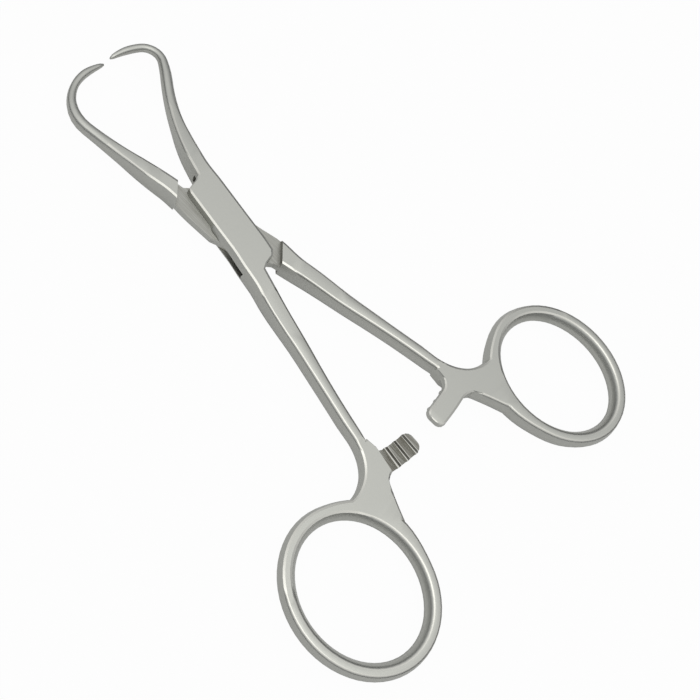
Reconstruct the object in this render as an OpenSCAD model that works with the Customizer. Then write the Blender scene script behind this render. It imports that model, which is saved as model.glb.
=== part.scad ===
// Towel clamp, 13 cm long: two forged halves crossing in a box lock, with finger
// rings, a three-tooth ratchet and pointed curved jaws. Millimetres, +Z up.
// The origin is on the pivot axis at the back face of the box, on which the clamp
// lies. +Y runs to the jaws, the box half's ring lies at -X, the front looks to +Z.
// The halves are drawn about their middle plane and raised by half the box.
// The clamp is drawn as it lies in the photograph, a little open.

/* [Node] */
// which piece to draw

/* [Box lock] */
// width of the box across its face
box_w = 7.2; // [6.6:0.1:8]
// thickness of the box from face to face
box_t = 5.2; // [4.8:0.1:6]
// turn of the box against the line of its bar, degrees
box_turn = 8.4; // [6:0.2:10]
// swell of the box's outer sides beyond its face
box_swell = 1; // [0.6:0.1:1.2]
// half length of the box along the bar, to the rounded ends
box_reach = 9.6; // [9:0.1:10.2]
// length over which the box's ends round off into the bars
end_drop = 2.8; // [2.4:0.2:4]
// width of the rounded crests along the faces of both halves
crest = 0.45; // [0.3:0.05:0.5]
// how much of the box's turn the male half's shank follows on its outer side
male_turn = 0.4; // [0:0.1:1]
// roundness of the sides, 0 for a straight slope and 1 for an oval
belly = 0.4; // [0.2:0.1:0.8]
// lean of the bars through the box, degrees from the Y axis
bar_lean = 16; // [15:0.2:17]
// straight length of a bar from the pivot towards the jaw
lock_up = 15.9; // [15.5:0.1:16.5]
// straight length of a bar from the pivot towards the ring
lock_down = 18.4; // [18:0.1:19]
// sideways place of a bar's middle line at the pivot
bar_shift = 0.5; // [0.2:0.1:0.8]
// thickness of the tongue that passes through the box
tongue_t = 1.8; // [1.6:0.1:2]
// distance from the pivot to the slanting end walls of the slot in the box
slot_reach = 10.8; // [10.6:0.1:11.2]
// radius to which the slot runs out at the forks of the box
slot_r = 13.6; // [13:0.1:14]
// distance from the pivot to the tongue's two shoulders
shoulder_reach = 11; // [10.9:0.1:11.4]
// direction square to the shoulders, degrees from the Y axis
shoulder_turn = 43; // [40:1:46]
// space between the tongue and the slot above and below it
slot_gap = 0.06; // [0.04:0.01:0.15]

/* [Pivot] */
// diameter of the flush pivot pin
pin_d = 3.6; // [3:0.1:4]
// running clearance round the pin in the tongue, on the radius
pin_gap = 0.04; // [0.02:0.01:0.08]

/* [Jaws] */
// lean of the box half's jaw where it leaves the box, degrees
jaw_lean_a = 16.5; // [15:0.5:18]
// lean of the male half's jaw where it leaves the box, degrees
jaw_lean_b = 13; // [11:0.5:15]
// length of the flaring arm on the box half
arm_a = 19.8; // [19:0.2:21]
// outward turn of the arm on the box half, degrees
flare_a = 21.5; // [19:0.5:24]
// length of the flaring arm on the male half
arm_b = 18.2; // [17:0.2:19]
// outward turn of the arm on the male half, degrees
flare_b = -4; // [-6:1:0]
// length and turn of the box half's low shoulder before its hook
shoulder_a = [4.9, -9];
// the box half's hook: length and turn of its bend, then of its point
hook_a = [6.2, -94, 7.3, -28];
// length and turn of the male half's low shoulder before its hook
shoulder_b = [6.3, -44];
// the male half's hook: length and turn of its bend, then of its point
hook_b = [9.7, -57, 3.6, -10];
// width of an arm's face where it leaves the box
arm_face = 2.8; // [2.6:0.1:3.2]
// width of an arm where its hook begins
arm_low = 2.5; // [2.2:0.1:2.8]
// width of the round wire of the hooks
hook_w = 1.6; // [1.5:0.1:2]
// length over which a hook sharpens to its point
point_len = 4.5; // [3:0.5:6]
// width at the end of a point
tip_w = 0.4; // [0.3:0.1:0.6]

/* [Shanks] */
// length of the shank from the pivot to where the neck begins
shank_len = 49; // [47:0.5:51]
// turn of the shank below the box, degrees
shank_turn = -3.5; // [-4:0.5:0]
// width of the flat face just below the box
face_top = 3.1; // [2.8:0.1:3.6]
// width of the ridge above the neck
face_low = 1.8; // [1.4:0.1:2.4]
// thickness of the shank above the neck
shank_t = 4; // [3.6:0.1:4.4]
// swell of the shank's sides beyond its face, above the neck
shank_swell = 0.7; // [0.6:0.1:1]

// outward set of the shank's top, where it leaves the box
shank_set = 0.5; // [0.3:0.05:0.5]

/* [Rings] */
// half width of the ring's middle line
ring_a = 13.6; // [13:0.1:14.5]
// half length of the ring's middle line
ring_b = 15.8; // [15:0.1:17]
// turn of the ring's long axis, degrees
ring_turn = -5; // [-8:1:0]
// place round the ring where the neck meets it, degrees from its right side
ring_meet = 35.5; // [30:0.5:40]
// width of the ring's front face
ring_face = 1.5; // [1.4:0.1:2.3]
// thickness of the ring from front to back
ring_t = 4; // [3.8:0.1:4.6]
// swell of the ring's wall into the finger hole
swell_in = 1.2; // [0.8:0.1:1.5]
// swell of the ring's wall outward
swell_out = 0.7; // [0.4:0.05:0.9]

// widening of the ring's face, on its outer side, where the neck runs in
ring_blend = 1.3; // [0.8:0.1:1.6]
// place round the ring of that widening's middle, degrees
blend_at = 28; // [20:1:36]
// half of the turn over which the widening fades away
blend_turn = 48; // [40:1:60]

/* [Neck] */
// length of the neck from the shank to the middle of the ring's tube
neck_len = 16.9; // [15.6:0.1:17.8]
// turn of the neck towards the ring, degrees
neck_turn = 43; // [40:1:46]
// spread of the neck on its outer side where it meets the ring
neck_out = 5.8; // [4:0.1:6]
// spread of the neck on its inner side where it meets the ring
neck_in = 6.3; // [5.4:0.1:7]
// rounding of the forks between the neck and the ratchet bar
fork_round = 3.5; // [3:0.5:5]

/* [Ratchet] */
// radius of the ratchet bars' middle line round the pivot
ratchet_r = 57.1; // [56.5:0.1:57.7]
// width of a ratchet bar
ratchet_w = 4.8; // [4:0.1:5]
// angle of the bar's root from the middle line, degrees
root_angle = 12; // [11:0.5:13]
// angle of the bar's end from the middle line, degrees
end_angle = 2.4; // [2.2:0.1:3]
// angle from one tooth to the next, degrees
tooth_pitch = 2.4; // [2:0.1:2.6]
// height of the teeth
tooth_h = 0.9; // [0.6:0.1:1.1]
// height of the tooth tips above the clamp's middle plane
tooth_top = 0.35; // [0.2:0.05:0.5]
// rounding of the bar's end corners
end_round = 1.6; // [1:0.1:2]

/* [Hidden] */
$fn = 48;
step_arm = 1.9;
step_bend = 0.85;
// places round a side between its two crests, degrees from the middle plane
side_turns = [60, 30, 0, -30, -60];
side_n = len(side_turns) + 4;
// how far a crest reaches inside and outside the face's edge, of its width
crest_in = 0.66;
crest_out = 1 - crest_in;
// half width and spread from which the neck opens on its inner side
neck_start = 2.3;
// how far the ratchet bar's root goes into the neck
root_depth = 2.2;
// where the root's two fillets begin, on the shank's side and on the ring's
upper_set = -0.7;
lower_set = 2.2;
// half of the band cleared round the ratchet bar where the fork ends
band_clear = 9;
teeth = 3;
// the ratchet bar's root lies this much under the neck's face
web_drop = 0.03;
// swell of the ratchet bar's sides to the middle plane
fork_swell = 0.4;
// width of the flat top of a tooth
tooth_land = 0.3;
// length of a tooth with its ramp, along the bar
tooth_ramp = 1.3;
// the cuts beside a tooth overlap by this much
tooth_lap = 0.15;
floor_z = tooth_top - tooth_h;
steel = [0.75, 0.76, 0.74];

// path helpers: a place is [x, y, heading], heading in degrees from +Y towards +X

// one short straight step along the heading
function ahead(p, d) = [p[0] + d * sin(p[2]), p[1] + d * cos(p[2]), p[2]];
// the place part way, k of n, along a bend of length d and turn a
function bend_at(p, d, a, n, k) =
    k == 0 ? p
    : let (q = bend_at(p, d, a, n, k - 1), m = [q[0], q[1], q[2] + a / n / 2])
      let (e = ahead(m, d / n)) [e[0], e[1], q[2] + a / n];
// all places along a bend, the first left out
function bend(p, d, a, step) =
    let (n = ceil(abs(d) / step)) [for (k = [1:n]) bend_at(p, d, a, n, k)];
function last(v) = v[len(v) - 1];
// path length from the first place to place i
function run(path, i) =
    i == 0 ? 0 : run(path, i - 1) + norm([path[i][0] - path[i - 1][0], path[i][1] - path[i - 1][1]]);
function smooth(t) = let (u = min(1, max(0, t))) u * u * (3 - 2 * u);
function mix(a, b, t) = a + (b - a) * t;

// outline of a forged bar across its length: narrow flat faces front and back,
// rounded crests, then sides that swell by b to the middle plane
function side(w, b, h, k, belly) = concat(
    [[w - crest_in * k, h], [w + crest_out * k, h - 0.3 * k]],
    [for (a = side_turns)
        let (thin = mix(1 / (cos(a) + abs(sin(a))), 1, belly))
        [w + b * cos(a) * thin, h * sin(a) * thin]],
    [[w + crest_out * k, 0.3 * k - h], [w - crest_in * k, -h]]
);
function section(l, r, bl, br, h, belly) =
    let (k = min(crest, 0.8 * min(l, r)))
    let (left = side(l, bl, h, k, belly))
    concat(side(r, br, h, k, belly), [for (i = [side_n - 1:-1:0]) [-left[i][0], left[i][1]]]);
// a section stood up at a place on the path
function stand(p, s) = [for (q = s) [p[0] + q[0] * cos(p[2]), p[1] - q[0] * sin(p[2]), q[1]]];

// a solid through a row of stood sections of m points each
module skin(rows, closed) {
    n = len(rows);
    m = len(rows[0]);
    points = [for (r = rows) for (q = r) q];
    turns = closed ? n : n - 1;
    sides = [
        for (i = [0:turns - 1]) for (j = [0:m - 1])
        let (a = i * m + j, b = i * m + (j + 1) % m)
        let (c = ((i + 1) % n) * m + (j + 1) % m, d = ((i + 1) % n) * m + j)
        each [[a, b, c], [a, c, d]]
    ];
    ends = closed ? [] : [[for (j = [m - 1:-1:0]) j], [for (j = [0:m - 1]) (n - 1) * m + j]];
    polyhedron(points, concat(sides, ends), convexity = 8);
}

// half widths of the face at the distance u from the pivot: the near side
// narrows along the box, the far side widens and then drops at the box's end
function near_w(u, end_w, turn) =
    let (w = box_w / 2 - u * tan(box_turn) * turn) mix(w, end_w, smooth((u - 9) / 9));
function far_w(u, end_w, grow) =
    let (w = box_w / 2 + u * tan(box_turn) * grow)
    mix(w, end_w, smooth((u - box_reach + 0.6) / end_drop));

// the jaw from the box to its point: places, then the lengths of its parts
function jaw_path(lean, arm, flare, shoulder, hook) =
    let (start = [bar_shift, 0, lean])
    let (a = bend(start, lock_up, 0, 1.1))
    let (b = bend(last(a), arm, flare, step_arm))
    let (c = bend(last(b), shoulder[0], shoulder[1], step_arm))
    let (d = bend(last(c), hook[0], hook[1], step_bend))
    let (e = bend(last(d), hook[2], hook[3], step_bend))
    concat(a, b, c, d, e);

// face half width, swell and half height along a jaw of length all
function jaw_section(u, all, grow) =
    let (left = all - u)
    let (wire = mix(arm_low, hook_w, smooth((u - 35) / 11)) / 2)
    let (round_r = mix(tip_w / 2, wire, sqrt(min(1, left / point_len))))
    let (fade = smooth((u - 15) / 20))
    let (face = mix(arm_face / 2, 0.34 * round_r, fade))
    let (half_h = mix(box_t / 2, round_r * 1.1, smooth((u - 11) / 24)))
    let (swell = mix(0.4, round_r * 0.66, fade))
    let (l = u < lock_up ? far_w(u, arm_face / 2, grow) : face)
    let (r = u < lock_up ? near_w(u, arm_face / 2, 1) : face)
    let (near = mix(box_swell, swell, smooth((u - 6) / 10)))
    section(l, r, swell, near, half_h, mix(belly, 1, fade));

// the shank and neck, from the pivot down to the ring
function shank_path() =
    let (start = [bar_shift, 0, bar_lean + 180])
    let (a = bend(start, lock_down, 0, 1.1))
    let (b = bend(last(a), shank_len - lock_down, shank_turn, 2.6))
    let (c = bend(last(b), neck_len, neck_turn, 0.9))
    concat([start], a, b, c);

function shank_section(u, grow) =
    let (low = smooth((u - 16) / 28))
    let (t = max(0, (u - shank_len + 2) / (neck_len + 2)))
    let (face = mix(face_top, face_low, low) / 2)
    let (out = face - 0.3 * sin(180 * min(1, 1.4 * t)) + (neck_out - face) * pow(t, 4))
    let (inn = mix(face, neck_start, smooth(t * 2 - 0.35)) + (neck_in - neck_start) * pow(t, 4))
    let (thin = mix(box_t, shank_t, smooth((u - 12) / 18)))
    let (half_h = mix(thin, ring_t, smooth(t * 2)) / 2)
    let (swell = mix(mix(0.4, shank_swell, low), swell_out, smooth(t * 1.3)))
    let (set = shank_set * smooth((u - 5) / 8) * (1 - smooth((u - 18) / 13)))
    let (l = (u < lock_down ? far_w(u, face_top / 2, grow) : inn) - set)
    let (r = (u < lock_down ? near_w(u, face_top / 2, mix(male_turn, 1, grow)) : out) + set)
    let (near = mix(box_swell, swell, smooth((u - 8) / 14)))
    section(l, r, swell, near, half_h, belly);

function neck_rows(grow) =
    let (down = shank_path())
    // the shank's places look back along the bar, so its sides swap over
    [for (i = [0:len(down) - 1])
        let (cut = flip(shank_section(run(down, i), grow)))
        stand([down[i][0], down[i][1], down[i][2] + 180], cut)];
// a section seen from the other side
function flip(s) = [for (i = [len(s) - 1:-1:0]) [-s[i][0], s[i][1]]];

// the whole bar of one half, point to ring; grow widens it to the box
module bar(jaw, grow) {
    up = concat([[bar_shift, 0]], jaw);
    all = run(up, len(jaw));
    rows_up = [for (i = [len(jaw):-1:1]) stand(jaw[i - 1], jaw_section(run(up, i), all, grow))];
    skin(concat(rows_up, neck_rows(grow)), false);
}

// the ratchet bar as a bent bar of its own: its root spreads in two fillets into
// the neck, its end corners are rounded
function quarter(r, s) = s >= r ? 0 : r - sqrt(r * r - pow(r - max(0, s), 2));
function ratchet_rows() =
    let (deg = 180 / PI / ratchet_r, w = ratchet_w / 2 - fork_swell)
    let (from = -root_depth, to = (root_angle - end_angle) / deg)
    // places from the root line towards the end, the end's rounding first
    let (stops = concat(
        [for (a = [90, 75, 55, 30]) to - end_round * (1 - sin(a))],
        [for (i = [3:-1:1]) mix(fork_round, to - end_round, i / 3)],
        [for (i = [8:-1:0]) mix(from, fork_round, i / 8)]
    ))
    [for (s = stops)
        let (h = root_angle - s * deg, end = quarter(end_round, to - s))
        let (l = w + quarter(fork_round, s - upper_set) - end)
        let (r = w + quarter(fork_round, s + lower_set) - end)
        let (p = [-ratchet_r * sin(h), -ratchet_r * cos(h), 90 + h])
        stand(p, section(l, r, fork_swell, fork_swell, ring_t / 2 - web_drop - 0.1 * end, belly))];

// the ring's middle, from where the neck's middle line ends on the ring's
function turned(x, y) = [
    x * cos(ring_turn) - y * sin(ring_turn),
    x * sin(ring_turn) + y * cos(ring_turn)
];
function ring_middle() =
    let (end = last(shank_path()))
    [end[0], end[1]] - turned(ring_a * cos(ring_meet), ring_b * sin(ring_meet));

module ring() {
    n = 60;
    middle = ring_middle();
    // the sections stand square to the ring, their right side outward
    rows = [
        for (i = [0:n - 1])
        let (a = -360 / n * i)
        let (x = ring_a * cos(a), y = ring_b * sin(a))
        let (out = atan2(ring_a * sin(a), ring_b * cos(a)) + ring_turn)
        let (c = middle + turned(x, y))
        let (p = [c[0], c[1], -out])
        let (away = abs((a + 360 - blend_at + 180) % 360 - 180))
        let (wide = away > blend_turn ? 0 : ring_blend * pow(cos(90 * away / blend_turn), 2))
        stand(p, section(ring_face / 2, ring_face / 2 + wide, swell_in, swell_out, ring_t / 2, belly))
    ];
    skin(rows, true);
}

// part of a circle band between two angles from the middle line
module bar_outline(r1, r2, a, b) {
    polygon(concat(
        [for (k = [0:6]) let (h = mix(a, b, k / 6)) [-r1 * sin(h), -r1 * cos(h)]],
        [for (k = [6:-1:0]) let (h = mix(a, b, k / 6)) [-r2 * sin(h), -r2 * cos(h)]]
    ));
}

// what is cut away above one tooth, which ramps up on the side of the bar's end
// to a narrow land and drops square on its root side
module above_tooth(run_l) {
    rotate([90, 0, 0]) linear_extrude(2 * band_clear, center = true) polygon([
        [tooth_lap, floor_z], [tooth_ramp - run_l, floor_z], [tooth_land - run_l, tooth_top],
        [-run_l, tooth_top], [-run_l, ring_t], [tooth_lap, ring_t]
    ]);
}
// what is cut away down to the floor between two angles from the middle line
module above_floor(a, b) {
    translate([0, 0, floor_z]) linear_extrude(ring_t)
    bar_outline(ratchet_r - band_clear, ratchet_r + band_clear, a, b);
}

// the ratchet bar, cut down from the front to its floor and teeth, left of the
// middle line
module ratchet() {
    first = end_angle + 0.08 * tooth_pitch;
    difference() {
        skin(ratchet_rows(), false);
        above_floor(-end_angle, first);
        above_floor(first + teeth * tooth_pitch, root_angle);
        for (k = [0:teeth - 1])
        rotate(-first - k * tooth_pitch)
        translate([0, -ratchet_r, 0])
        above_tooth(ratchet_r * tooth_pitch * PI / 180);
    }
}

// the slot for the tongue, its end walls slanting as the shoulders do
module slot() {
    high = tongue_t + 2 * slot_gap;
    intersection() {
        translate([0, 0, -high / 2]) cylinder(r = slot_r, h = high, $fn = 96);
        rotate(-shoulder_turn) cube([4 * slot_r, 2 * slot_reach, high], center = true);
    }
}

// both shoulders' space, cleared above and below the tongue
module clear_tongue() {
    for (s = [-1, 1])
    rotate(-shoulder_turn)
    translate([-20, -shoulder_reach, s > 0 ? tongue_t / 2 : -tongue_t / 2 - box_t])
    cube([40, 2 * shoulder_reach, box_t]);
}

module box_half() {
    color(steel) translate([0, 0, box_t / 2])
    difference() {
        union() {
            bar(jaw_path(jaw_lean_a, arm_a, flare_a, shoulder_a, hook_a), 1);
            ring();
            ratchet();
        }
        slot();
        translate([0, 0, -box_t]) cylinder(d = pin_d, h = 2 * box_t);
    }
}

module male_half() {
    color(steel) translate([0, 0, box_t / 2]) mirror([1, 0, 0])
    difference() {
        union() {
            bar(jaw_path(jaw_lean_b, arm_b, flare_b, shoulder_b, hook_b), 0);
            ring();
            mirror([0, 0, 1]) ratchet();
        }
        clear_tongue();
        translate([0, 0, -box_t]) cylinder(r = pin_d / 2 + pin_gap, h = 2 * box_t);
    }
}

module pivot_pin() {
    color(steel) cylinder(d = pin_d, h = box_t);
}

box_half();
male_half();
pivot_pin();
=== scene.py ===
# %% [markdown]
# # A towel clamp in satin steel
#
# The clamp is two forged halves that cross in a box lock and turn on a flush
# pin. Its solids come packed as a fixed frame: three nodes, in metres, lying on
# the back face of the box. This lesson dresses them. Each forged half could be
# shown as it comes, but a packed node is loose triangles with a facet at every
# one, so each half is shown by a merged copy whose soft sides shade smooth and
# whose crests stay crisp.

import math

import bmesh
import bpy
from mathutils import Matrix, Vector


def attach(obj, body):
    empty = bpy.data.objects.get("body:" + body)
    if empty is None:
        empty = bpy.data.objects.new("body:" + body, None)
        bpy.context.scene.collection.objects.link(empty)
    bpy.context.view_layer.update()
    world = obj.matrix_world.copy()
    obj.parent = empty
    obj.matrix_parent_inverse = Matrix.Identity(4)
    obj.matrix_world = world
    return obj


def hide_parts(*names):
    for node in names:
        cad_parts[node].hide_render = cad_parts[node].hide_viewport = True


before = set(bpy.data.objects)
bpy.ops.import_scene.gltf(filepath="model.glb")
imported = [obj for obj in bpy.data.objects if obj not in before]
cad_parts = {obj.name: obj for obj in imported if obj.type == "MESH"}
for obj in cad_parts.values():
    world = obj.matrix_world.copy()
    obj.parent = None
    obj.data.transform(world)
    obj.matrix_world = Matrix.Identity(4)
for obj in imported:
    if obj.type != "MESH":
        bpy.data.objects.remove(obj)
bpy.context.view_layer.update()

# %% [markdown]
# ## The camera
#
# The photograph looks down on the clamp from its left side, about 60 degrees
# above the table, from a hand's length away, so the near ring is larger than
# the far one. The camera comes first, because every later choice is judged
# through it. Its place and turn could be found by eye, but a matrix of its three
# axes is exact.

# %% Camera at the photograph's viewing angle
CAMERA_AT = Vector((-0.10661, -0.04427, 0.18975))
CAMERA_RIGHT = Vector((0.6388, -0.69368, 0.33277))
CAMERA_UP = Vector((0.58708, 0.71904, 0.3719))
CAMERA_BACK = Vector((-0.49726, -0.04221, 0.86658))
LENS_MM = 55
SENSOR_MM = 36
NEAREST = 0.01


def photo_camera():
    """The camera, placed by its three axes and its position."""
    data = bpy.data.cameras.new("photo_camera")
    data.lens = LENS_MM
    data.sensor_width = SENSOR_MM
    data.clip_start = NEAREST
    camera = bpy.data.objects.new("photo_camera", data)
    turn = Matrix((CAMERA_RIGHT, CAMERA_UP, CAMERA_BACK)).transposed().to_4x4()
    camera.matrix_world = Matrix.Translation(CAMERA_AT) @ turn
    bpy.context.scene.collection.objects.link(camera)
    bpy.context.scene.camera = camera
    return camera


camera = photo_camera()
print("camera at", tuple(round(v, 4) for v in camera.matrix_world.translation))

# %% [markdown]
# ## Shader arithmetic
#
# A finish is a formula: so much grain here, so much polish there. Written as
# nodes by hand it takes a page, so a small class wraps a socket and lets Python
# write the formula. Numbers go through Math nodes, colours through Mix nodes,
# and every other node comes from one method.

# %% A socket that takes part in a formula


class Wire:
    """A socket of a node; arithmetic with it adds Math nodes."""

    def __init__(self, tree, socket):
        self.tree = tree
        self.socket = socket

    def __add__(self, other):
        return self.tree.maths("ADD", self, other)

    def __radd__(self, other):
        return self.tree.maths("ADD", other, self)

    def __sub__(self, other):
        return self.tree.maths("SUBTRACT", self, other)

    def __rsub__(self, other):
        return self.tree.maths("SUBTRACT", other, self)

    def __mul__(self, other):
        return self.tree.maths("MULTIPLY", self, other)

    def __rmul__(self, other):
        return self.tree.maths("MULTIPLY", other, self)

    def __truediv__(self, other):
        return self.tree.maths("DIVIDE", self, other)

    def __rtruediv__(self, other):
        return self.tree.maths("DIVIDE", other, self)

    def clamp(self):
        return self.tree.node("ShaderNodeClamp", values={"Value": self})

    def ramp(self, low, high):
        """0 below low, 1 above high, smooth between."""
        settings = {"interpolation_type": "SMOOTHSTEP"}
        values = {"Value": self, "From Min": low, "From Max": high}
        return self.tree.node("ShaderNodeMapRange", settings, values)


print("operators:", sorted(name for name in vars(Wire) if name.startswith("__r")))

# %% A tree that makes the nodes
MIX_FACTOR = 0
MIX_FIRST = 6
MIX_SECOND = 7
MIX_COLOUR = 2


class Tree:
    """The node tree of a material or a world, emptied first."""

    def __init__(self, owner):
        owner.use_nodes = True
        self.tree = owner.node_tree
        self.tree.nodes.clear()

    def node(self, kind, settings=None, values=None, out=0):
        """A node of one kind, its settings first, then its sockets."""
        made = self.tree.nodes.new(kind)
        for name, value in (settings or {}).items():
            if name == "stops":
                self.set_stops(made.color_ramp, value)
            else:
                setattr(made, name, value)
        for name, value in (values or {}).items():
            self.plug(value, made.inputs[name])
        return Wire(self, made.outputs[out]) if made.outputs else None

    def set_stops(self, ramp, stops):
        while len(ramp.elements) < len(stops):
            ramp.elements.new(0.5)
        for element, (at, colour) in zip(ramp.elements, stops):
            element.position = at
            element.color = (*colour, 1)

    def plug(self, value, socket):
        """Link a wire to a socket, or set a number or a colour on it."""
        if isinstance(value, Wire):
            self.tree.links.new(value.socket, socket)
        elif socket.type == "RGBA" and len(value) == 3:
            socket.default_value = (*value, 1)
        else:
            socket.default_value = value

    def maths(self, operation, first, second=None):
        values = {0: first} if second is None else {0: first, 1: second}
        return self.node("ShaderNodeMath", {"operation": operation}, values)

    def mix(self, factor, first, second):
        """Colour first where factor is 0, second where it is 1."""
        values = {MIX_FACTOR: factor, MIX_FIRST: first, MIX_SECOND: second}
        return self.node("ShaderNodeMix", {"data_type": "RGBA"}, values, MIX_COLOUR)

    def axis(self, name, vector):
        """One part of a vector, X, Y or Z."""
        return self.node("ShaderNodeSeparateXYZ", values={"Vector": vector}, out=name)

    def attribute(self, name):
        """A number that the mesh carries on its faces."""
        return self.node("ShaderNodeAttribute", {"attribute_name": name}, out="Fac")


print("a mix's sockets:", MIX_FACTOR, MIX_FIRST, MIX_SECOND, "colour out:", MIX_COLOUR)

# %% [markdown]
# ## Two finishes and a painted highlight on one steel
#
# The forged surfaces have a satin finish, blasted and then brushed lightly, so
# they are pale, warm grey and reflect only soft shapes. Where a milling cutter
# passed, on the ratchet bars, the shoulders, the tongue and inside the slot, the
# steel is darker and shows fine parallel tool marks. On the crests and on the
# teeth's edges a highlight is painted: a brighter colour with a little less
# roughness. Separate materials would meet in a seam, so the mesh carries two
# attributes, one for the milling and one for the painted highlight, and one
# shader blends the satin, the milling and the painted highlight.

# %% Colours of the steel
SATIN = (0.60, 0.605, 0.565)
SATIN_SHADE = (0.54, 0.545, 0.51)
MILLED = (0.42, 0.42, 0.39)
CUT = (0.23, 0.22, 0.19)
# Colour of the highlight painted on the crests and the teeth's edges.
HIGHLIGHT_PAINT = (0.66, 0.655, 0.61)
print("satin:", SATIN_SHADE, "to", SATIN, "milled:", CUT, "to", MILLED)

# %% Fine and coarse patterns, by how often they repeat in a metre
CLOUD_SCALE = 90.0
GRAIN_SCALE = 5200.0
BRUSH_LEAN = math.radians(-16)
BRUSH_SCALE = (2600, 90, 2600)
CUTTER_LEAN = math.radians(-8)
CUTTER_SCALE = (5200, 160, 300)


def noise(tree, at, scale, detail):
    """Soft noise, mostly near 0.5."""
    values = {"Vector": at, "Scale": scale, "Detail": detail}
    return tree.node("ShaderNodeTexNoise", values=values)


def streaks(tree, at, lean, scale, detail):
    """Noise drawn out into parallel lines."""
    values = {"Vector": at, "Rotation": (0, 0, lean), "Scale": scale}
    lined = tree.node("ShaderNodeMapping", values=values)
    return noise(tree, lined, 1.0, detail)


print("grain every", round(1000 / GRAIN_SCALE, 2), "mm, cloud every", round(1000 / CLOUD_SCALE), "mm")

# %% A painted highlight line at the foot of each tooth's ramp
FOOT_DEG = 3.58
PITCH_DEG = 2.4
LINE_DEG = (0.05, 0.1)
LAST_FOOT_DEG = (9.0, 9.1)
ONLY_MILLED = (0.8, 0.9)


def foot_highlights(tree, at, milled):
    """1 on a painted highlight line at the foot of each ramp."""
    across = tree.maths("ABSOLUTE", tree.axis("X", at))
    down = 0 - tree.axis("Y", at)
    turn = tree.maths("ARCTAN2", across, down) * math.degrees(1)
    steps = (turn - FOOT_DEG) / PITCH_DEG
    off_foot = tree.maths("ABSOLUTE", tree.maths("FRACT", steps + 0.5) - 0.5) * PITCH_DEG
    line = 1 - off_foot.ramp(*LINE_DEG)
    return line * (1 - turn.ramp(*LAST_FOOT_DEG)) * milled.ramp(*ONLY_MILLED)


print("first foot at", FOOT_DEG, "degrees, the others", PITCH_DEG, "degrees apart")

# %% The steel
TONE = {"cloud": 0.5, "brush": 0.45, "grain": 0.3}
ROUGH = {"base": 0.38, "cloud": 0.10, "brush": 0.12, "milled": 0.12, "rubbed": 0.10}
HEIGHT = {"grain": 0.5, "brush": 0.6, "cutter": 2.0}
CUTTER_EDGE = (0.35, 0.65)
HIGHLIGHT_LEAST = 0.75
BUMP_STRENGTH = 0.25
BUMP_DEPTH = 0.00002


def satin_steel(name):
    """Satin stainless steel with milled places and painted highlights."""
    material = bpy.data.materials.new(name)
    tree = Tree(material)
    at = tree.node("ShaderNodeTexCoord", out="Object")
    milled = tree.attribute("milled")
    # Where a highlight is painted: the crests, the teeth's edges and a line at each ramp's foot.
    rubbed = tree.attribute("rubbed") + foot_highlights(tree, at, milled)

    cloud = noise(tree, at, CLOUD_SCALE, 3.0) - 0.5
    grain = noise(tree, at, GRAIN_SCALE, 2.0) - 0.5
    brush = streaks(tree, at, BRUSH_LEAN, BRUSH_SCALE, 2.0) - 0.5
    cutter = streaks(tree, at, CUTTER_LEAN, CUTTER_SCALE, 1.0)

    tone = cloud * TONE["cloud"] + brush * TONE["brush"] + grain * TONE["grain"] + 0.5
    satin = tree.mix(tone.clamp(), SATIN_SHADE, SATIN)
    marks = tree.mix(cutter.ramp(*CUTTER_EDGE), CUT, MILLED)
    colour = tree.mix(milled, satin, marks)
    # How strong the painted highlight is, varied along the brush streaks.
    highlight_strength = rubbed * (HIGHLIGHT_LEAST + (1 - HIGHLIGHT_LEAST) * (brush + 0.5))
    colour = tree.mix(highlight_strength, colour, HIGHLIGHT_PAINT)

    rough = ROUGH["base"] + cloud * ROUGH["cloud"] + brush * ROUGH["brush"]
    rough = rough + milled * ROUGH["milled"] - rubbed * ROUGH["rubbed"]

    height = grain * HEIGHT["grain"] + brush * HEIGHT["brush"]
    height = height + milled * (cutter - 0.5) * HEIGHT["cutter"]
    values = {"Strength": BUMP_STRENGTH, "Distance": BUMP_DEPTH, "Height": height}
    bump = tree.node("ShaderNodeBump", values=values)

    values = {"Base Color": colour, "Roughness": rough.clamp(), "Metallic": 1.0, "Normal": bump}
    shader = tree.node("ShaderNodeBsdfPrincipled", values=values)
    tree.node("ShaderNodeOutputMaterial", values={"Surface": shader})
    return material


steel = satin_steel("satin_steel")
print("steel nodes:", len(steel.node_tree.nodes))

# %% [markdown]
# ## Finding the finishes on the forged halves
#
# On the real clamp the cutter leaves its marks only where the halves touch: on
# the ratchet bars, on the shoulders, on the tongue and in the slot. The faces
# there could be picked by number, but a change of the solids would move the
# numbers, so each face is asked where it lies and which way it looks. The crests
# run round each flat face as narrow sloping strips, so their slope tells them.

# %% Where a cutter has passed
MIDDLE_Z = 0.0026
LEVEL = 0.99
UPRIGHT = 0.3
SIDEWAYS = 0.7
BAR_IN = 0.053
BAR_OUT = 0.0615
BAR_TIP_DEG = 2.7
BAR_ROOT_DEG = 12.2
TEETH_HALF = 0.0009
LOCK_R = 0.0145
LOCK_HALF = 0.00106
SHOULDER_R = 0.0165
FACES_PIN = 0.8


def degrees_round(point):
    """Degrees round the pin from straight down the clamp, on either side."""
    return math.degrees(math.atan2(abs(point.x), -point.y))


def on_ratchet(face):
    """True on the floor and the teeth of a ratchet bar, and not on its sides."""
    centre = face.calc_center_median()
    out = centre.to_2d()
    along = BAR_IN < out.length < BAR_OUT and BAR_TIP_DEG < degrees_round(centre) < BAR_ROOT_DEG
    side = abs(face.normal.to_2d().dot(out.normalized())) > SIDEWAYS
    return along and not side and abs(centre.z - MIDDLE_Z) < TEETH_HALF


def in_lock(face):
    """True on the tongue's flats and the slot's."""
    centre = face.calc_center_median()
    inside = centre.to_2d().length < LOCK_R and abs(centre.z - MIDDLE_Z) < LOCK_HALF
    return inside and abs(face.normal.z) > LEVEL


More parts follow.
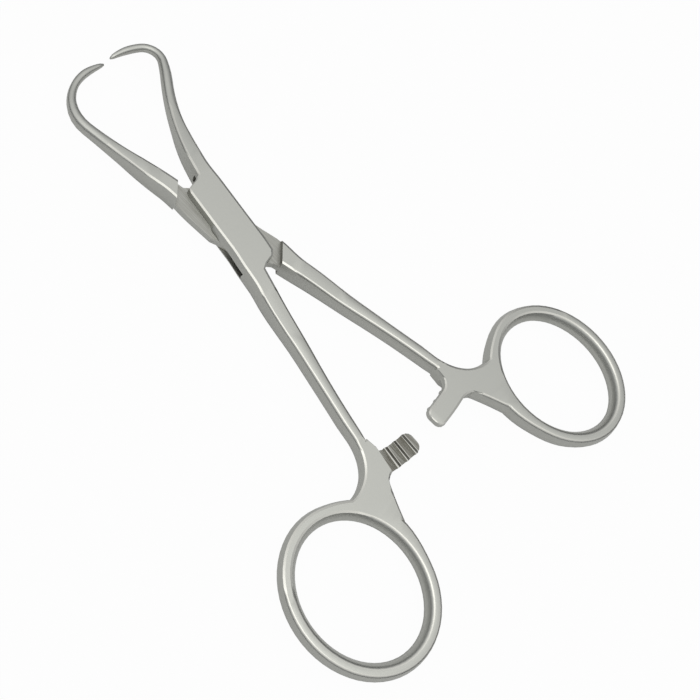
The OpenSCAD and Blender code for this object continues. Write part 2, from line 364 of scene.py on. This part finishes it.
def on_shoulder(face):
    """True on the steps that the lock closes against, which face the pin."""
    out = face.calc_center_median().to_2d()
    inward = face.normal.to_2d().dot(out) < -FACES_PIN * out.length
    return abs(face.normal.z) < UPRIGHT and out.length < SHOULDER_R and inward


print("ratchet bars lie", BAR_IN, "to", BAR_OUT, "m from the pin")

# %% Where a highlight is painted
LAND_Z = 0.00035
LAND_SLACK = 0.00005
STEEP = 0.2
CREST_SLOPE = (0.86, 0.985)
HOOKS_FROM_Y = 0.028
HALF_MILLED = 0.5


def on_tooth_edge(face):
    """True on a tooth's flat top and its steep side, where a highlight is painted."""
    offset = abs(abs(face.calc_center_median().z - MIDDLE_Z) - LAND_Z)
    up = abs(face.normal.z)
    return on_ratchet(face) and (up < STEEP or (up > LEVEL and offset < LAND_SLACK))


def on_crest(face):
    """True on the narrow sloping strips along the flat faces, where a highlight is painted."""
    forged = face.calc_center_median().y < HOOKS_FROM_Y
    return forged and CREST_SLOPE[0] < abs(face.normal.z) < CREST_SLOPE[1]


def milled_amount(face):
    if on_tooth_edge(face):
        return 0.0
    if on_ratchet(face) or on_shoulder(face):
        return 1.0
    return HALF_MILLED if in_lock(face) else 0.0


# 1 where a highlight is painted: on the teeth's edges, and on the crests off the ratchet bars.
def painted_highlight_amount(face):
    if on_tooth_edge(face):
        return 1.0
    return float(on_crest(face) and not on_ratchet(face))


print("crests slope", [round(math.degrees(math.acos(z))) for z in CREST_SLOPE], "degrees")

# %% [markdown]
# ## Making the forged halves
#
# Each half of the real clamp is one forging whose box and forks are ground flat
# and whose shanks and rings are left rounded. A copy of the packed node is merged
# into one skin, and on the ground flats its triangles are dissolved into whole
# faces. Smooth shading alone would bend light over the flats, so edges that turn
# sharply are kept crisp, and a Weighted Normal modifier lets the wide faces look
# flat beside their crests. Two small steps in the solid are evened out first.

# %% Small steps evened out
RING_HALF = 0.002
FORK_STEP = 0.000034
SLIVER_DEG = (9.6, 9.85)
SLIVER_R = (0.054, 0.0605)


def level_fork(form):
    """Bring the fork's faces to the height of the neck's, which they meet."""
    for vert in form.verts:
        rise = vert.co.z - MIDDLE_Z
        if RING_HALF - FORK_STEP < abs(rise) < RING_HALF:
            vert.co.z = MIDDLE_Z + math.copysign(RING_HALF, rise)


def trim_last_land(form, side):
    """Bring the sliver behind the last tooth down to the teeth's flat tops."""
    top = MIDDLE_Z + side * LAND_Z
    for vert in form.verts:
        behind = SLIVER_DEG[0] < degrees_round(vert.co) < SLIVER_DEG[1]
        on_bar = SLIVER_R[0] < vert.co.to_2d().length < SLIVER_R[1]
        if behind and on_bar and (vert.co.z - top) * side > 0:
            vert.co.z = top


print("forks rise by", FORK_STEP, "m at most")

# %% Ground flats and crisp edges
BOX_Y = (-0.016, 0.018)
FORK_Y = (-0.061, -0.050)
CRISP_DEG = 24
SOFT_DEG = 72
DEAD_LEVEL = 0.995


def on_a_flat(edge):
    """True on the box and on the forks, which are ground flat."""
    y = edge.verts[0].co.y
    return BOX_Y[0] < y < BOX_Y[1] or FORK_Y[0] < y < FORK_Y[1]


def crisp(edge):
    """True where an edge turns sharply, or bounds a ground flat."""
    if not edge.is_manifold:
        return False
    limit = CRISP_DEG if on_a_flat(edge) else SOFT_DEG
    if edge.calc_face_angle() > math.radians(limit):
        return True
    level = [abs(face.normal.z) > DEAD_LEVEL for face in edge.link_faces]
    return on_a_flat(edge) and level[0] != level[1]


print("crisp above", CRISP_DEG, "degrees on the flats and", SOFT_DEG, "elsewhere")

# %% One skin from a packed node
MERGE_M = 0.000002
FLAT_DEG = 0.3


def one_skin(node, side):
    """A merged bmesh of a packed node, its ground flats in whole faces."""
    form = bmesh.new()
    form.from_mesh(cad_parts[node].data)
    level_fork(form)
    trim_last_land(form, side)
    bmesh.ops.remove_doubles(form, verts=form.verts, dist=MERGE_M)
    flats = [edge for edge in form.edges if on_a_flat(edge)]
    corners = list({vert for edge in flats for vert in edge.verts})
    limit = math.radians(FLAT_DEG)
    bmesh.ops.dissolve_limit(form, angle_limit=limit, verts=corners, edges=flats)
    return form


def mark_finishes(form):
    """Give each face its finish and its painted highlight, each edge its shading, and count the
    marked.
    """
    milled = form.faces.layers.float.new("milled")
    rubbed = form.faces.layers.float.new("rubbed")
    for face in form.faces:
        face.smooth = True
        face[milled] = milled_amount(face)
        face[rubbed] = painted_highlight_amount(face)
    for edge in form.edges:
        edge.smooth = not crisp(edge)
    return sum(1 for face in form.faces if face[milled] or face[rubbed])


print("merged within", MERGE_M, "m")

# %% Both halves
FLAT_SHANK_Y = -0.026
NECK_Y = -0.047
WIDE_WEIGHT = 30


def keep_wide_faces_flat(piece):
    """Shade by the wide faces, except on the rounded lower half of the shank."""
    group = piece.vertex_groups.new(name="wide_faces")
    verts = piece.data.vertices
    wide = [vert.index for vert in verts if not NECK_Y < vert.co.y < FLAT_SHANK_Y]
    group.add(wide, 1.0, "REPLACE")
    shading = piece.modifiers.new("wide faces stay flat", "WEIGHTED_NORMAL")
    shading.vertex_group = group.name
    shading.mode = "FACE_AREA_WITH_ANGLE"
    shading.weight = WIDE_WEIGHT
    shading.keep_sharp = True


def forged_copy(node, name, body, side):
    """A merged, smooth copy of a packed node that stands for it."""
    form = one_skin(node, side)
    marked = mark_finishes(form)
    mesh = bpy.data.meshes.new(name)
    form.to_mesh(mesh)
    form.free()
    mesh.materials.append(steel)
    piece = bpy.data.objects.new(name, mesh)
    bpy.context.scene.collection.objects.link(piece)
    keep_wide_faces_flat(piece)
    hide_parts(node)
    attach(piece, body)
    print(name, "faces:", len(mesh.polygons), "marked:", marked)


forged_copy("box_half", "box_half_satin", "box_side", 1)
forged_copy("male_half", "male_half_satin", "male_side", -1)

# %% [markdown]
# ## The pin
#
# The pivot pin is ground flush with both faces of the box and takes the same
# satin finish with them, so on the real clamp it nearly disappears. It could be
# copied like the halves, but the packed cylinder already has the right form, so
# it only gets the steel.

# %% Steel on the pin
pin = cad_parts["pivot_pin"]
pin.data.materials.clear()
pin.data.materials.append(steel)

# %% [markdown]
# ## Table
#
# The clamp lies on a white table in broad, soft light, and its shadow is almost
# washed out. A lit white floor would come out grey or burn the steel, so the
# table glows for the camera and keeps only a little of the shadow, and the steel
# mirrors a duller one.

# %% The table
TABLE_HALF = 2.0
TABLE_DROP = 0.00002
TABLE_PAINT = (0.6, 0.6, 0.6)
WHITE = (1.0, 1.0, 1.0)
GLOW_SEEN = 0.97
GLOW_MIRRORED = 0.25


def table_white(name):
    """White to the camera, duller in reflections, plain paint to the light."""
    material = bpy.data.materials.new(name)
    tree = Tree(material)
    paint = tree.node("ShaderNodeBsdfDiffuse", values={"Color": TABLE_PAINT})
    glow = tree.node("ShaderNodeEmission", values={"Color": WHITE, "Strength": 1.0})
    seen = tree.node("ShaderNodeLightPath", out="Is Camera Ray")
    mirrored = tree.node("ShaderNodeLightPath", out="Is Glossy Ray")
    through = tree.node("ShaderNodeLightPath", out="Is Transmission Ray")
    glowing = seen * GLOW_SEEN + mirrored * GLOW_MIRRORED + through * GLOW_MIRRORED
    values = {0: glowing.clamp(), 1: paint, 2: glow}
    shader = tree.node("ShaderNodeMixShader", values=values)
    tree.node("ShaderNodeOutputMaterial", values={"Surface": shader})
    return material


def white_table():
    """A square table just under the clamp's back."""
    form = bmesh.new()
    bmesh.ops.create_grid(form, x_segments=1, y_segments=1, size=TABLE_HALF)
    bmesh.ops.translate(form, verts=form.verts, vec=(0, 0, -TABLE_DROP))
    mesh = bpy.data.meshes.new("table")
    form.to_mesh(mesh)
    form.free()
    mesh.materials.append(table_white("white_table"))
    table = bpy.data.objects.new("table", mesh)
    bpy.context.scene.collection.objects.link(table)
    return table


print("table:", white_table().name)

# %% [markdown]
# ## Light
#
# Metal shows what surrounds it. In the photograph the steel mirrors a bright
# ceiling, a grey horizon and something dark on the right, which draws a dark
# edge along the shanks. Many lamps could do that, but a world that brightens
# towards the zenith does it without spots, and one soft panel adds the rest.

# %% The world
SKY = [
    (0.0, (0.08, 0.082, 0.085)),
    (0.3, (0.2, 0.205, 0.21)),
    (0.7, (0.74, 0.745, 0.75)),
    (0.86, (0.88, 0.88, 0.88)),
    (1.0, (1.1, 1.1, 1.08)),
]
WING = (0.16, 0.165, 0.17)
WING_FROM = (0.62, 0.98)


def pale_world():
    """Grey at the horizon, bright overhead, and darker far to the right."""
    world = bpy.data.worlds.new("studio")
    bpy.context.scene.world = world
    tree = Tree(world)
    way = tree.node("ShaderNodeTexCoord", out="Generated")
    light = tree.node("ShaderNodeValToRGB", {"stops": SKY}, {0: tree.axis("Z", way)})
    light = tree.mix(tree.axis("X", way).ramp(*WING_FROM), light, WING)
    glow = tree.node("ShaderNodeBackground", values={"Color": light, "Strength": 1.0})
    tree.node("ShaderNodeOutputWorld", values={"Surface": glow})
    return world


print("world:", pale_world().name)

# %% The soft panel
PANEL_AT = Vector((-0.08, 0.0, 0.7))
PANEL_TOWARD = Vector((0, -0.02, 0))
PANEL_SIDE = 0.4
PANEL_WATTS = 0.4


def soft_panel(name):
    """A square lamp above the clamp, turned to its middle."""
    data = bpy.data.lights.new(name, "AREA")
    data.shape = "SQUARE"
    data.size = PANEL_SIDE
    data.energy = PANEL_WATTS
    lamp = bpy.data.objects.new(name, data)
    lamp.location = PANEL_AT
    lamp.rotation_euler = (PANEL_TOWARD - PANEL_AT).to_track_quat("-Z", "Y").to_euler()
    bpy.context.scene.collection.objects.link(lamp)
    return lamp


print("lamp:", soft_panel("top_panel").name)
bpy.context.scene.view_settings.view_transform = "Standard"
